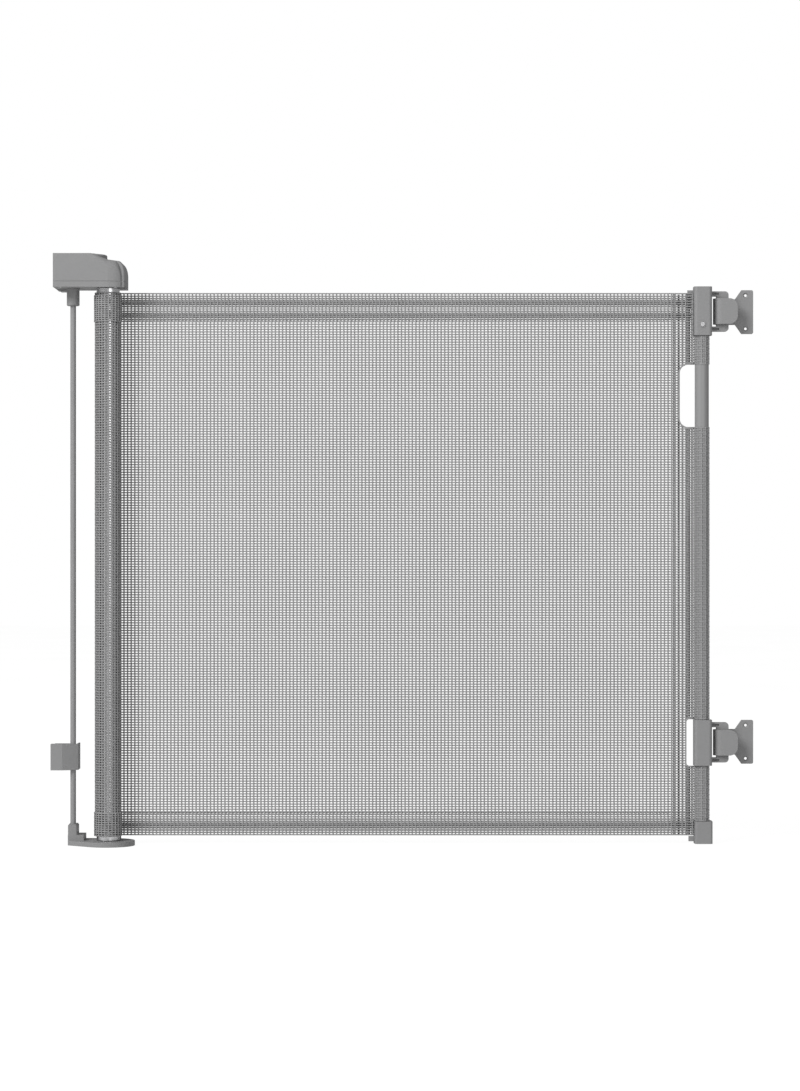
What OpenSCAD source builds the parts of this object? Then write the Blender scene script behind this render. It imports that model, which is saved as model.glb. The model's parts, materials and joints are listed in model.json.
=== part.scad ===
// Retractable mesh safety gate, closed and hooked on.
// X runs along the gate from the roller to the latch post, Y runs into the wall and Z is up.
// The origin lies on the wall plane, under the roller axis, at the underside of the bottom bracket.

/* [Gate] */
// Distance from the roller axis to the latch post axis
reach = 841; // [500:1:1400]
// Height of the mesh
mesh_h = 770; // [500:1:1000]
// Height of the mesh's lower edge above the bracket's underside
mesh_lift = 12; // [11:0.5:20]
// Distance from the wall to the roller axis
stand = 38; // [36:0.5:50]

/* [Mesh] */
// Thickness of one layer of mesh
mesh_t = 1; // [0.6:0.1:1.5]
// Diameter of the mesh wound on the tube
roll_d = 40; // [36:0.5:48]
// Width of the doubled seam strip beside the post
seam_w = 35; // [30:1:60]
// Width of the hand hole
hand_hole_w = 21.5; // [15:0.5:28]
// Height of the hand hole
hand_hole_h = 89; // [60:1:120]
// Distance from the mesh's upper edge to the middle of the hand hole
hand_hole_drop = 146; // [120:1:200]
// Corner radius of the hand hole
hand_hole_r = 12; // [3:0.5:14]
// Width of the slot beside the lower clip
slot_w = 12; // [8:0.5:20]

/* [Roller] */
// Outer diameter of the roller tube
tube_d = 32.5; // [30:0.5:35]
// Wall of the roller tube
tube_wall = 1.4; // [1:0.1:2]
// Diameter of the lower pivot pin
pin_d = 10; // [8:0.5:12]
// Diameter of the upper stub
stub_d = 11; // [9:0.5:12]
// Number of teeth on the ratchet wheel
ratchet_teeth = 12; // [10:1:14]
// Number of turns of the return spring
spring_turns = 26; // [10:1:30]

/* [Housing] */
// Height of the top housing
housing_h = 47.5; // [44:0.5:60]
// Distance from the roller axis to the housing's left side
housing_left = 75; // [72:0.5:100]
// Distance from the roller axis to the housing's right side
housing_right = 25.2; // [24:0.1:32]
// Distance from the roller axis to the housing's front
housing_front = 28.5; // [26:0.5:34]
// Wall of the housing
housing_wall = 2.5; // [2:0.1:3]
// Height of the tray that the cover stands on
tray_h = 8; // [6:0.5:10]
// Radius of the lock dial
dial_r = 23.5; // [18:0.5:24]
// Height of the lock dial
dial_h = 7; // [6:0.5:8]
// Radius of the release button
button_r = 8.4; // [6:0.1:10]

/* [Rod] */
// Diameter of the support rod
rod_d = 8; // [6:0.5:10]
// Distance from the roller axis to the rod axis
rod_off = 50; // [46:0.5:52]
// Distance from the wall to the rod axis
rod_stand = 32; // [28:0.5:36]
// Diameter of the ferrule under the housing
ferrule_d = 18; // [14:0.5:20]
// Height of the middle of the rod clip
rod_clip_z = 124.6; // [80:1:400]

/* [Bracket] */
// Radius of the bracket's disc
disc_r = 37.7; // [30:0.1:38]
// Thickness of the bracket's plate
plate_t = 6.6; // [5:0.1:8]
// Height of the bracket's left block
block_h = 14.7; // [12:0.1:18]
// Height of the rod socket
socket_h = 29.5; // [24:0.5:40]

/* [Post and latches] */
// Diameter of the latch post
post_d = 20; // [16:0.5:24]
// Wall of the latch post
post_wall = 1.2; // [1:0.1:2]
// Distance from the mesh's upper edge to the middle of the upper latch
upper_latch_drop = 26; // [24:0.5:40]
// Height of the middle of the lower latch
lower_latch_z = 143.8; // [120:1:300]
// Height of the upper clip
upper_clip_h = 69; // [60:0.5:80]
// Height of the lower clip
lower_clip_h = 64.6; // [58:0.5:80]
// Height of the latch loops
loop_h = 57; // [52:0.5:60]
// Thickness of the latch loops' arms
loop_arm = 7; // [5:0.5:8]
// Distance from the wall to the front of the hooks
hook_depth = 24; // [20:0.5:26]
// Height of the hook strip
hook_w = 36.5; // [30:0.5:38]
// Thickness of the hook strip
hook_t = 3; // [2:0.1:3.5]
// Height of the hook's wall plate
hook_plate_h = 62.4; // [56:0.1:70]
// Distance between the screw holes of a hook
hook_screw_gap = 47.4; // [40:0.1:52]

/* [Screw holes] */
// Radius of the wall screw holes
wall_hole_r = 1.9; // [1.6:0.1:2.6]
// Distance between the housing's wall screws
housing_screw_gap = 60; // [50:1:64]
// Distance between the bracket's wall screws
bracket_screw_gap = 18; // [14:1:24]
// Distance between the rod clip's wall screws
clip_screw_gap = 20; // [16:1:24]

/* [Clearances] */
// Radial clearance of a running fit
run_gap = 0.06; // [0.02:0.01:0.1]
// Radial clearance of a pressed fit
press_gap = 0.02; // [0.01:0.01:0.04]
// Gap between faces that pass or lie beside each other
face_gap = 0.3; // [0.2:0.05:0.5]

/* [Hidden] */
$fn = 48;
eps = 0.01;

// mesh
roll_r = roll_d / 2;
mesh_top = mesh_lift + mesh_h;
mesh_y = -stand + roll_r + face_gap + mesh_t / 2;
roll_inset = 1.5;
panel_start = 2;
// post
post_r = post_d / 2;
clip_wall = 2.6;
clip_left = post_r + 1.8;
clip_right = post_r + 3.8;
clip_half = post_r + clip_wall;
clip_corner = 5;
clip_lid = 4;
upper_latch_z = mesh_top - upper_latch_drop;
upper_clip_top = upper_latch_z + upper_clip_h / 2;
post_z0 = 5;
post_top = upper_clip_top - clip_lid - face_gap;
cap_h = 31.6;
cap_z0 = 0.8;
cap_shift = 1.8;
cap_top = cap_z0 + cap_h + face_gap;
clip_bottom = upper_latch_z - upper_clip_h / 2 - face_gap;
seam_end = reach - post_r - face_gap;
seam_start = seam_end - seam_w;
pocket_r = post_r + press_gap + mesh_t;
hole_z = mesh_top - hand_hole_drop;
slot_h = lower_clip_h + 2;
// roller
tube_r = tube_d / 2;
tube_in = tube_r - tube_wall;
pin_r = pin_d / 2;
stub_r = stub_d / 2;
washer_t = 0.8;
washer_r = 11;
tube_z0 = plate_t + washer_t + 0.2;
mandrel_r = 3.5;
mandrel_head_r = 6;
plug_h = 24;
spring_r = 10;
wire_r = 0.9;
spring_len = min(320, mesh_h / 2);
// housing
housing_z = mesh_top + 4.8;
housing_top = housing_z + housing_h;
floor_t = 3;
floor_z = housing_z + floor_t;
cover_z = housing_z + tray_h + face_gap;
front = stand + housing_front;
tube_z1 = housing_z - 0.6;
dial_z = housing_top - dial_h;
deck_top = dial_z - face_gap;
deck_t = 3.2;
step_x = -22;
shoulder_x = 2;
step_top = housing_top - 8.5;
end_drop = 1.8;
end_rx = 9;
end_rz = 19;
face_bow = 38;
face_x = housing_right - 5.6;
face_rx = 8;
face_rz = 15;
ledge = 8;
ledge_y = -front + ledge;
edge_r = 8;
edge_rz = 10;
dial_x = -dial_r - 0.9;
dial_y = -front + housing_wall + dial_r;
dial_pocket_r = dial_r + 0.4;
stem_r = 5;
// lock works
works_z = floor_z + 7.5;
works_h = 5.5;
ratchet_r = 10.5;
ratchet_root = 8.5;
bite_r = 9;
arm_len = 19;
arm_w = 4.5;
arm_gap = 0.4;
pawl_pin_r = 2;
hub_r = 4.5;
pawl_open = 7.2;
axes_d = norm([dial_x, dial_y + stand]);
to_ratchet = atan2(-stand - dial_y, -dial_x);
arm_angle = to_ratchet - 90;
bite_x = -bite_r * cos(to_ratchet);
bite_y = -stand - bite_r * sin(to_ratchet);
pawl_x = bite_x - arm_len * cos(arm_angle);
pawl_y = bite_y - arm_len * sin(arm_angle);
arm_in = bite_r - ratchet_r - arm_gap;
arm_out = arm_in - arm_w;
cam_low = (axes_d - bite_r) * cos(pawl_open) - arm_len * sin(pawl_open) + arm_out - face_gap;
cam_high = axes_d - bite_r + arm_out - face_gap;
cam_turn = 125;
cam_off = (cam_high - cam_low) / (cos(cam_turn - 90) - cos(cam_turn));
cam_r = cam_low - cam_off * cos(cam_turn);
// small screws
screw_r = 1.7;
screw_head_r = 3.1;
screw_head_h = 2;
countersink = 1.8;
cover_screws = [[-housing_left + 9, -front + 9], [12, -front + 10.5]];
// bracket
socket_w = 13.2;
block_w = 22.4;
block_front = rod_stand + 10;
bracket_left = rod_off + socket_w / 2;
wall_plate_h = 46;
wall_plate_w = 30;
wall_plate_t = 4;
// rod clip
rod_clip_h = 36.9;
rod_clip_front = rod_stand + 13;
rod_clip_right = rod_off - 7.4;
rod_clip_w = 38.2;
rod_clip_crease = 16.5;
rod_clip_slant = 9;
rod_clip_lip = 2;
// latches
hook_mid = hook_depth / 2;
bend_x = reach + 16.4 + hook_mid;
bar_t = 9;
bar_x0 = bend_x - sqrt(pow(hook_mid - hook_t, 2) - pow(bar_t / 2, 2)) + face_gap;
bar_w = reach + 38.2 - bar_x0;
tongue_end = reach + 50.6;
hook_plate_x = reach + 48.6;
hook_plate_w = 26;
hook_plate_slope = 9.2;
hook_corner = 2.5;
groove_w = 2.4;
groove_d = 3;
hook_screw_x = hook_plate_x + 15.2;

plastic = [0.6, 0.6, 0.6];
plastic_dark = [0.45, 0.45, 0.45];
steel = [0.75, 0.75, 0.77];
fabric = [0.62, 0.62, 0.62];

// ---- shared shapes ----

// Ring of height h standing at the origin
module ring(r_out, r_in, h) {
    difference() {
        cylinder(r = r_out, h = h);
        translate([0, 0, -1]) cylinder(r = r_in, h = h + 2);
    }
}

// Rectangle with four round corners, from its lower left corner
module round_rect(w, d, r) {
    translate([r, 0]) square([w - 2 * r, d]);
    translate([0, r]) square([w, d - 2 * r]);
    for (x = [r, w - r], y = [r, d - r]) translate([x, y]) circle(r = r);
}

// Pan head screw pointing up, its head resting at z = 0
module screw(length) {
    cylinder(r = screw_r, h = length);
    translate([0, 0, -screw_head_h]) difference() {
        cylinder(r = screw_head_r, h = screw_head_h);
        for (a = [0, 90]) rotate(a) translate([-2, -0.4, -eps]) cube([4, 0.8, 0.9]);
    }
}

// Countersunk screw hole along Y through a plate whose back lies at y = 0
module wall_hole(plate) {
    rotate([90, 0, 0]) {
        translate([0, 0, -1]) cylinder(r = wall_hole_r, h = plate + 2);
        translate([0, 0, plate - countersink])
            cylinder(r1 = wall_hole_r, r2 = wall_hole_r + countersink + eps, h = countersink + eps);
    }
}

// Coil of round wire, centred on Z
module coil(r, wire, z0, z1, turns, seg, side) {
    last = turns * seg;
    points = [for (i = [0:last], j = [0:side - 1])
        let (a = i * 360 / seg, b = j * 360 / side)
        [(r + wire * cos(b)) * cos(a), (r + wire * cos(b)) * sin(a),
         z0 + (z1 - z0) * i / last + wire * sin(b)]];
    walls = [for (i = [0:last - 1], j = [0:side - 1], half = [0, 1])
        let (a = i * side + j, b = i * side + (j + 1) % side)
        half == 0 ? [a, b, b + side] : [a, b + side, a + side]];
    ends = [[for (j = [side - 1:-1:0]) j], [for (j = [0:side - 1]) last * side + j]];
    polyhedron(points, concat(walls, ends), convexity = 10);
}

// ---- pieces fixed to the wall ----

module bottom_bracket() {
    tangent = acos(disc_r / norm([bracket_left, stand - block_front]))
        + atan2(-block_front + stand, -bracket_left);
    color(plastic) difference() {
        union() {
            linear_extrude(plate_t) {
                translate([0, -stand]) circle(r = disc_r);
                polygon([[-bracket_left, 0], [-bracket_left, -block_front],
                         [disc_r * cos(tangent), disc_r * sin(tangent) - stand],
                         [0, -stand], [0, 0]]);
            }
            translate([-bracket_left, -block_front, 0]) cube([block_w, block_front - 4, block_h]);
            translate([-bracket_left, -block_front, 0]) linear_extrude(socket_h - 1.5)
                round_rect(socket_w, block_front - 12, 2);
            translate([-bracket_left + 1, -block_front + 1, 0]) linear_extrude(socket_h)
                round_rect(socket_w - 2, block_front - 14, 1.5);
            translate([-wall_plate_w / 2, -wall_plate_t, 0])
                cube([wall_plate_w, wall_plate_t, wall_plate_h]);
        }
        translate([-rod_off, -rod_stand, plate_t]) cylinder(r = rod_d / 2 + press_gap, h = socket_h);
        translate([0, -stand, 1.6]) cylinder(r = pin_r + press_gap, h = plate_t);
        for (s = [-0.5, 0.5]) translate([0, 0, 28 + s * bracket_screw_gap]) wall_hole(wall_plate_t);
    }
}

module pivot_pin() {
    mandrel_z = tube_z0 + plug_h;
    color(steel) translate([0, -stand, 0]) {
        translate([0, 0, 1.6]) cylinder(r = pin_r, h = mandrel_z + 2 - 1.6);
        translate([0, 0, mandrel_z]) cylinder(r = mandrel_r, h = spring_len + 8);
        translate([0, 0, mandrel_z + spring_len + 3]) cylinder(r = mandrel_head_r, h = 5);
    }
}

module thrust_washer() {
    color(plastic_dark) translate([0, -stand, plate_t]) ring(washer_r, pin_r + run_gap, washer_t);
}

module support_rod() {
    color(plastic) translate([-rod_off, -rod_stand, plate_t])
        cylinder(r = rod_d / 2, h = floor_z + 5 - plate_t);
}

module rod_ferrule() {
    color(plastic) translate([-rod_off, -rod_stand, housing_z - 24.3]) difference() {
        union() {
            rotate_extrude() polygon([[0, 0], [ferrule_d / 2 - 1.2, 0], [ferrule_d / 2 - 0.4, 0.4],
                [ferrule_d / 2, 1.2], [ferrule_d / 2, 24.3], [0, 24.3]]);
            cylinder(r = rod_d / 2 + 2, h = 24.3 + floor_t + 2);
        }
        translate([0, 0, -1]) cylinder(r = rod_d / 2 + run_gap, h = 40);
    }
}

// Outline of the rod clip's cover, seen from above
module clip_outline(back) {
    left = -rod_clip_right - rod_clip_w;
    polygon([[left, -back], [left, -rod_clip_front + 1], [left + 1, -rod_clip_front],
        [left + rod_clip_crease, -rod_clip_front],
        [-rod_clip_right, -rod_clip_front + rod_clip_slant], [-rod_clip_right, -back]]);
}

module rod_clip_cover() {
    color(plastic) difference() {
        translate([0, 0, rod_clip_z - rod_clip_h / 2]) linear_extrude(rod_clip_h) {
            clip_outline(rod_stand);
            translate([-rod_clip_right - rod_clip_lip, -rod_stand - 1])
                square([rod_clip_lip, rod_stand - 5]);
        }
        translate([-rod_off, -rod_stand, 0]) cylinder(r = rod_d / 2 + run_gap, h = mesh_top);
        translate([-rod_off - 18, -rod_stand + 1, rod_clip_z]) rotate([90, 0, 0])
            cylinder(r = screw_r + press_gap, h = 8);
    }
}

module rod_clip_base() {
    left = -rod_clip_right - rod_clip_w + 2;
    color(plastic) difference() {
        translate([0, 0, rod_clip_z - rod_clip_h / 2 + 1.5]) linear_extrude(rod_clip_h - 3) {
            translate([left, -rod_stand]) square([22, rod_stand]);
            translate([left, -rod_stand]) square([rod_clip_w - rod_clip_lip - 2.5, 8]);
        }
        translate([-rod_off, -rod_stand, 0]) cylinder(r = rod_d / 2 + run_gap, h = mesh_top);
        translate([-rod_off - 18, 0, rod_clip_z]) {
            for (s = [-0.5, 0.5]) translate([0, 0, s * clip_screw_gap]) {
                wall_hole(rod_stand);
                translate([0, -6, 0]) rotate([90, 0, 0]) cylinder(r = 5, h = rod_stand);
            }
            rotate([90, 0, 0]) {
                translate([0, 0, -1]) cylinder(r = screw_r + 0.2, h = rod_stand + 2);
                translate([0, 0, -1]) cylinder(r = screw_head_r + 0.4, h = 10);
            }
        }
    }
}

module rod_clip_screw() {
    color(steel) translate([-rod_off - 18, -9, rod_clip_z]) rotate([90, 0, 0]) screw(rod_stand - 9 + 6);
}

// How far the housing's face lies behind its front at x, right of the roller axis
function bow(x) = face_bow - sqrt(pow(face_bow, 2) - pow(max(x, 0), 2));

// Plan of the housing, its walls moved in by wall and its back left open by back
module housing_plan(wall, back) {
    polygon(concat([[-housing_left + wall, back], [-housing_left + wall, -front + wall]],
        [for (i = [0:6]) let (x = (face_x - wall) * i / 6) [x, -front + wall + bow(x)]],
        [[face_x - wall, ledge_y + wall], [housing_right - wall - 1.5, ledge_y + wall],
         [housing_right - wall, ledge_y + wall + 1.5], [housing_right - wall, back]]));
}

// Outline of the housing's round end, seen from the front
module end_outline(wall, z0) {
    x = housing_right - end_rx;
    polygon(concat([[shoulder_x - 1, z0], [shoulder_x - 1, step_top - wall]],
        [for (t = [90:-9:0]) [x + (end_rx - wall) * cos(t),
            step_top - end_drop - end_rz + (end_rz - wall) * sin(t)]], [[housing_right - wall, z0]]));
}

// Cross-section of the housing at x, its top at z and its front upper edge rounded by ry and rz
module slice(x, wall, z0, z, back, ry, rz) {
    y = -front + wall + bow(x);
    translate([x, 0, 0]) rotate([90, 0, 90]) linear_extrude(eps) polygon(concat(
        [[back, z0], [y, z0]],
        [for (t = [0:15:90]) [y + ry * (1 - cos(t)), z - rz * (1 - sin(t))]], [[back, z]]));
}

// Face of the shoulder, from the slope under the dial to its round end
module shoulder_face(wall, z0, back) {
    hull() for (i = [0:7]) {
        x = shoulder_x + (face_x - wall - shoulder_x) * sin(i * 90 / 7);
        over = max(0, (x - (face_x - face_rx)) / (face_rx - wall));
        drop = end_drop * (x - shoulder_x) / (housing_right - end_rx - shoulder_x)
            + face_rz * (1 - sqrt(1 - min(1, pow(over, 2))));
        slice(x, wall, z0, step_top - wall - drop, back, edge_r - wall, edge_rz - wall);
    }
}

// Slope of the housing under the dial, its left end's top at z
module slope(wall, z0, z, back) {
    hull() {
        slice(step_x, wall, z0, z, back, 1, 1);
        slice(shoulder_x, wall, z0, step_top - wall, back, edge_r - wall, edge_rz - wall);
    }
}

module housing_base() {
    color(plastic) difference() {
        union() {
            translate([0, 0, housing_z]) linear_extrude(floor_t) housing_plan(0, 0);
            translate([0, 0, housing_z]) linear_extrude(tray_h) difference() {
                housing_plan(0, 0);
                housing_plan(housing_wall, 1);
            }
            translate([-housing_left + housing_wall + face_gap, -3.5, floor_z])
                cube([housing_left - 6, 3.5, 31]);
            translate([-housing_left + 2.5, -30, housing_z - 2]) cube([8, 24, 3]);
            translate([-housing_left + 6, -30, housing_z - 3.2]) cube([11, 24, 4]);
            translate([dial_x, dial_y, housing_z + 1]) cylinder(r = 9, h = works_z - housing_z - 1.5);
            translate([pawl_x, pawl_y, housing_z + 1]) cylinder(r = hub_r, h = works_z - housing_z - 1.3);
        }
        translate([0, -stand, housing_z - 1]) cylinder(r = stub_r + 3, h = 6);
        translate([-rod_off, -rod_stand, housing_z - 1]) cylinder(r = rod_d / 2 + 2 + press_gap, h = 6);
        translate([-rod_off, -rod_stand, housing_z - 5]) cylinder(r = ferrule_d / 2, h = 5);
        translate([dial_x, dial_y, floor_z]) cylinder(r = stem_r + run_gap, h = 12);
        translate([pawl_x, pawl_y, housing_z + 1]) cylinder(r = pawl_pin_r + press_gap, h = 12);
        for (p = cover_screws) translate([p[0], p[1], housing_z - 1]) {
            cylinder(r = screw_r + 0.2, h = 8);
            cylinder(r = screw_head_r + 0.2, h = 2.2);
        }
        for (s = [-0.5, 0.5]) translate([-35 + s * housing_screw_gap, 0, floor_z + 20]) wall_hole(3.5);
    }
}

module housing_cover() {
    inner_x = dial_x - dial_pocket_r - 2.5;
    deck = deck_top - deck_t;
    color(plastic) difference() {
        union() {
            hull() for (x = [-housing_left, step_x]) slice(x, 0, cover_z, housing_top, 0, 1, 1);
            slope(0, cover_z, housing_top, 0);
            shoulder_face(0, cover_z, ledge_y + 1.5);
            hull() {
                rotate([90, 0, 0]) linear_extrude(-ledge_y - 1.5) end_outline(0, cover_z);
                translate([0, ledge_y + 1.5, 0]) rotate([90, 0, 0]) linear_extrude(1.5)
                    end_outline(1.5, cover_z);
            }
        }
        difference() {
            union() {
                translate([-housing_left + housing_wall, -front + housing_wall, cover_z - 1])
                    cube([inner_x + housing_left - housing_wall, front,
                          housing_top - housing_wall - cover_z + 1]);
                translate([inner_x - 1, -front + housing_wall, cover_z - 1])
                    cube([step_x - inner_x + 1 + eps, front, deck - cover_z + 1]);
                slope(housing_wall, cover_z - 1, deck, 1);
                shoulder_face(housing_wall, cover_z - 1, ledge_y + housing_wall + eps);
                translate([0, 1, 0]) rotate([90, 0, 0]) linear_extrude(1 - ledge_y - housing_wall)
                    end_outline(housing_wall, cover_z - 1);
            }
            for (p = cover_screws) translate([p[0], p[1], cover_z - 2]) cylinder(r = 4.2, h = housing_h);
        }
        translate([dial_x, dial_y, deck_top]) cylinder(r = dial_pocket_r, h = housing_h);
        translate([dial_x, dial_y, cover_z]) cylinder(r = stem_r + run_gap, h = housing_h);
        for (p = cover_screws) translate([p[0], p[1], cover_z - 2])
            cylinder(r = screw_r + press_gap, h = 10);
    }
}

module housing_screws() {
    color(steel) for (p = cover_screws) translate([p[0], p[1], housing_z + 1.2]) screw(13);
}

module top_bush() {
    color(plastic_dark) translate([0, -stand, housing_z + eps]) difference() {
        union() {
            cylinder(r = stub_r + 3 - press_gap, h = works_z - housing_z - 1);
            translate([0, 0, floor_t]) cylinder(r = stub_r + 5, h = 1.6);
        }
        translate([0, 0, -1]) cylinder(r = stub_r + run_gap, h = 20);
    }
}

module pawl_pin() {
    color(steel) translate([pawl_x, pawl_y, housing_z + 1])
        cylinder(r = pawl_pin_r, h = works_z + works_h + 5 - housing_z);
}

module pawl_spring() {
    base = works_z + works_h + 0.8;
    color(steel) translate([pawl_x, pawl_y, 0]) {
        coil(pawl_pin_r + 0.9, 0.4, base, base + 3.6, 4, 12, 6);
    }
}

module hook(z_mid) {
    bend_in = hook_mid - hook_t;
    color(plastic_dark) translate([0, 0, z_mid]) difference() {
        union() {
            translate([0, 0, -hook_w / 2]) linear_extrude(hook_w) {
                difference() {
                    translate([bend_x, -hook_mid]) circle(r = hook_mid);
                    translate([bend_x, -hook_mid]) circle(r = bend_in);
                    translate([bend_x, -hook_depth - 1]) square([hook_depth, hook_depth + 2]);
                }
                translate([bend_x, -hook_t]) square([hook_plate_x + 1 - bend_x, hook_t]);
            }
            rotate([90, 0, 0]) {
                translate([0, 0, hook_depth - hook_t]) linear_extrude(hook_t) {
                    translate([bend_x, -hook_w / 2]) square([tongue_end - 12 - bend_x, hook_w]);
                    translate([bend_x, -hook_w / 2 + 12])
                        square([tongue_end - bend_x, hook_w - 24]);
                    for (s = [-1, 1]) translate([tongue_end - 12, s * (hook_w / 2 - 12)])
                        circle(r = 12);
                }
                linear_extrude(hook_t) hull() {
                    polygon([[hook_plate_x, -hook_w / 2],
                        [hook_plate_x + hook_plate_slope, -hook_plate_h / 2],
                        [hook_plate_x + hook_plate_slope, hook_plate_h / 2],
                        [hook_plate_x, hook_w / 2]]);
                    for (s = [-1, 1]) translate([hook_plate_x + hook_plate_w - hook_corner,
                        s * (hook_plate_h / 2 - hook_corner)]) circle(r = hook_corner);
                }
            }
        }
        for (s = [-0.5, 0.5]) translate([hook_screw_x, 0, s * hook_screw_gap]) wall_hole(hook_t);
    }
}

module upper_hook() { hook(upper_latch_z); }

module lower_hook() { hook(lower_latch_z); }

// ---- roller ----

module roller_tube() {
    color(steel) translate([0, -stand, tube_z0]) ring(tube_r, tube_in, tube_z1 - tube_z0);
}

module bottom_plug() {
    color(plastic_dark) translate([0, -stand, tube_z0])
        ring(tube_in - press_gap, pin_r + run_gap, plug_h);
}

module top_plug() {
    color(plastic_dark) translate([0, -stand, 0]) difference() {
        union() {
            translate([0, 0, tube_z1 - plug_h]) cylinder(r = tube_in - press_gap, h = plug_h);
            translate([0, 0, tube_z1 - 1]) cylinder(r = stub_r, h = works_z + works_h + 3 - tube_z1);
        }
        translate([0, 0, works_z + works_h + 0.2]) ring(stub_r + 1, stub_r - 0.9, 1);
    }
}

module ratchet_wheel() {
    pitch = 360 / ratchet_teeth;
    gap_at = to_ratchet + 180;
    color(steel) translate([0, -stand, works_z]) difference() {
        rotate(gap_at - pitch / 2) linear_extrude(works_h) polygon([for (i = [0:ratchet_teeth - 1],
            p = [[ratchet_r, 0], [ratchet_root, 0.2], [ratchet_root, 0.8]])
            [p[0] * cos((i + p[1]) * pitch), p[0] * sin((i + p[1]) * pitch)]]);
        translate([0, 0, -1]) cylinder(r = stub_r + press_gap, h = works_h + 2);
    }
}

module stub_clip() {
    color(steel) translate([0, -stand, works_z + works_h + 0.25]) difference() {
        cylinder(r = stub_r + 2, h = 0.9);
        translate([0, 0, -1]) cylinder(r = stub_r - 0.9 + press_gap, h = 3);
        translate([0, -2, -1]) cube([stub_r + 3, 4, 3]);
    }
}

module return_spring() {
    base = tube_z0 + plug_h + wire_r + 0.05;
    color(steel) translate([0, -stand, 0])
        coil(spring_r, wire_r, base, base + spring_len, spring_turns, 12, 6);
}

module mesh_roll() {
    color(fabric) translate([0, -stand, mesh_lift + roll_inset])
        ring(roll_r, tube_r + press_gap, mesh_h - 2 * roll_inset);
}

// ---- lock ----

module lock_dial() {
    color(plastic) translate([dial_x, dial_y, 0]) difference() {
        union() {
            translate([0, 0, dial_z]) rotate_extrude() polygon([[0, 0], [dial_r - 0.8, 0],
                [dial_r, 0.8], [dial_r, dial_h - 3], [dial_r - 0.3, dial_h - 2],
                [dial_r - 1, dial_h - 1.2], [dial_r - 2.2, dial_h - 0.7],
                [dial_r - 5, dial_h - 0.3], [dial_r - 9, dial_h], [0, dial_h]]);
            translate([0, 0, floor_z + 1]) cylinder(r = stem_r, h = dial_z - floor_z);
        }
        translate([0, 0, housing_top - 4.5]) cylinder(r = button_r + 0.1, h = 5);
        translate([0, 0, housing_top - 14]) cylinder(r = 3.7, h = 15);
    }
}

module lock_cam() {
    at = to_ratchet - cam_turn;
    color(plastic_dark) translate([dial_x, dial_y, works_z]) difference() {
        translate([cam_off * cos(at), cam_off * sin(at), 0]) cylinder(r = cam_r, h = works_h);
        translate([0, 0, -1]) cylinder(r = stem_r + press_gap, h = works_h + 2);
    }
}

module release_button() {
    color(plastic_dark) translate([dial_x, dial_y, housing_top - 1.6]) {
        cylinder(r = button_r, h = 2);
        rotate_extrude() polygon([[0, 1.9], [button_r, 1.9], [button_r - 1, 2.8], [0, 2.8]]);
    }
}

module button_spring() {
    color(steel) translate([dial_x, dial_y, 0])
        coil(3, 0.4, housing_top - 13.5, housing_top - 2.1, 6, 12, 6);
}

module pawl() {
    tip = 1.1;
    color(steel) translate([pawl_x, pawl_y, works_z]) rotate(arm_angle - pawl_open) difference() {
        linear_extrude(works_h) {
            circle(r = hub_r);
            polygon([[-0.5, -hub_r], [6, arm_out], [arm_len + 3, arm_out], [arm_len + 3, arm_in],
                     [arm_len + tip, arm_in], [arm_len, 0], [arm_len - tip, arm_in],
                     [7, arm_in], [0.5, hub_r]]);
        }
        translate([0, 0, -1]) cylinder(r = pawl_pin_r + run_gap, h = works_h + 2);
    }
}

// ---- post, clips and moving edge of the mesh ----

module post_tube() {
    color(plastic) translate([reach, mesh_y, 0]) difference() {
        translate([0, 0, post_z0]) ring(post_r, post_r - post_wall, post_top - post_z0);
        translate([0, 0, upper_latch_z - 19]) rotate([90, 0, 0]) cylinder(r = screw_r + 0.1, h = 20);
        translate([0, 0, lower_latch_z - 19]) rotate([-90, 0, 0]) cylinder(r = screw_r + 0.1, h = 20);
    }
}

module post_plug() {
    color(plastic_dark) translate([reach, mesh_y, post_top - 16])
        cylinder(r = post_r - post_wall - press_gap, h = 16);
}

// Outer body of a clip round the post
module clip_body(h) {
    translate([-clip_left, -clip_half, 0]) linear_extrude(h)
        round_rect(clip_left + clip_right, 2 * clip_half, clip_corner);
}

// Front half of a clip, z_mid its middle, lid the thickness that closes its top
module clip_front(z_mid, h, lid) {
    color(plastic) translate([reach, mesh_y, z_mid - h / 2]) difference() {
        union() {
            clip_body(h);
            if (lid > 0) translate([0, -clip_half + 1, h / 2 - 19]) rotate([90, 0, 0])
                cylinder(r = screw_head_r + 1.6, h = 1.7);
        }
        translate([-50, face_gap / 2, -1]) cube([100, 50, h + 2]);
        translate([0, 0, -1]) cylinder(r = post_r + press_gap, h = h + 1 - lid);
        translate([clip_right - 2 - face_gap, -hook_mid - mesh_y - bar_t / 2 - face_gap, 0])
            for (s = [-1, 1]) translate([0, 0, (h - loop_arm + s * (loop_h - loop_arm)) / 2 - face_gap])
                cube([clip_wall + 4, bar_t + 2 * face_gap, loop_arm + 2 * face_gap]);
        translate([0, 0, h / 2 - 19]) rotate([90, 0, 0]) if (lid > 0) {
            cylinder(r = screw_r + 0.1, h = 30);
            translate([0, 0, clip_half - 1.2]) cylinder(r = screw_head_r + 0.4, h = 2);
        }
    }
}

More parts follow.
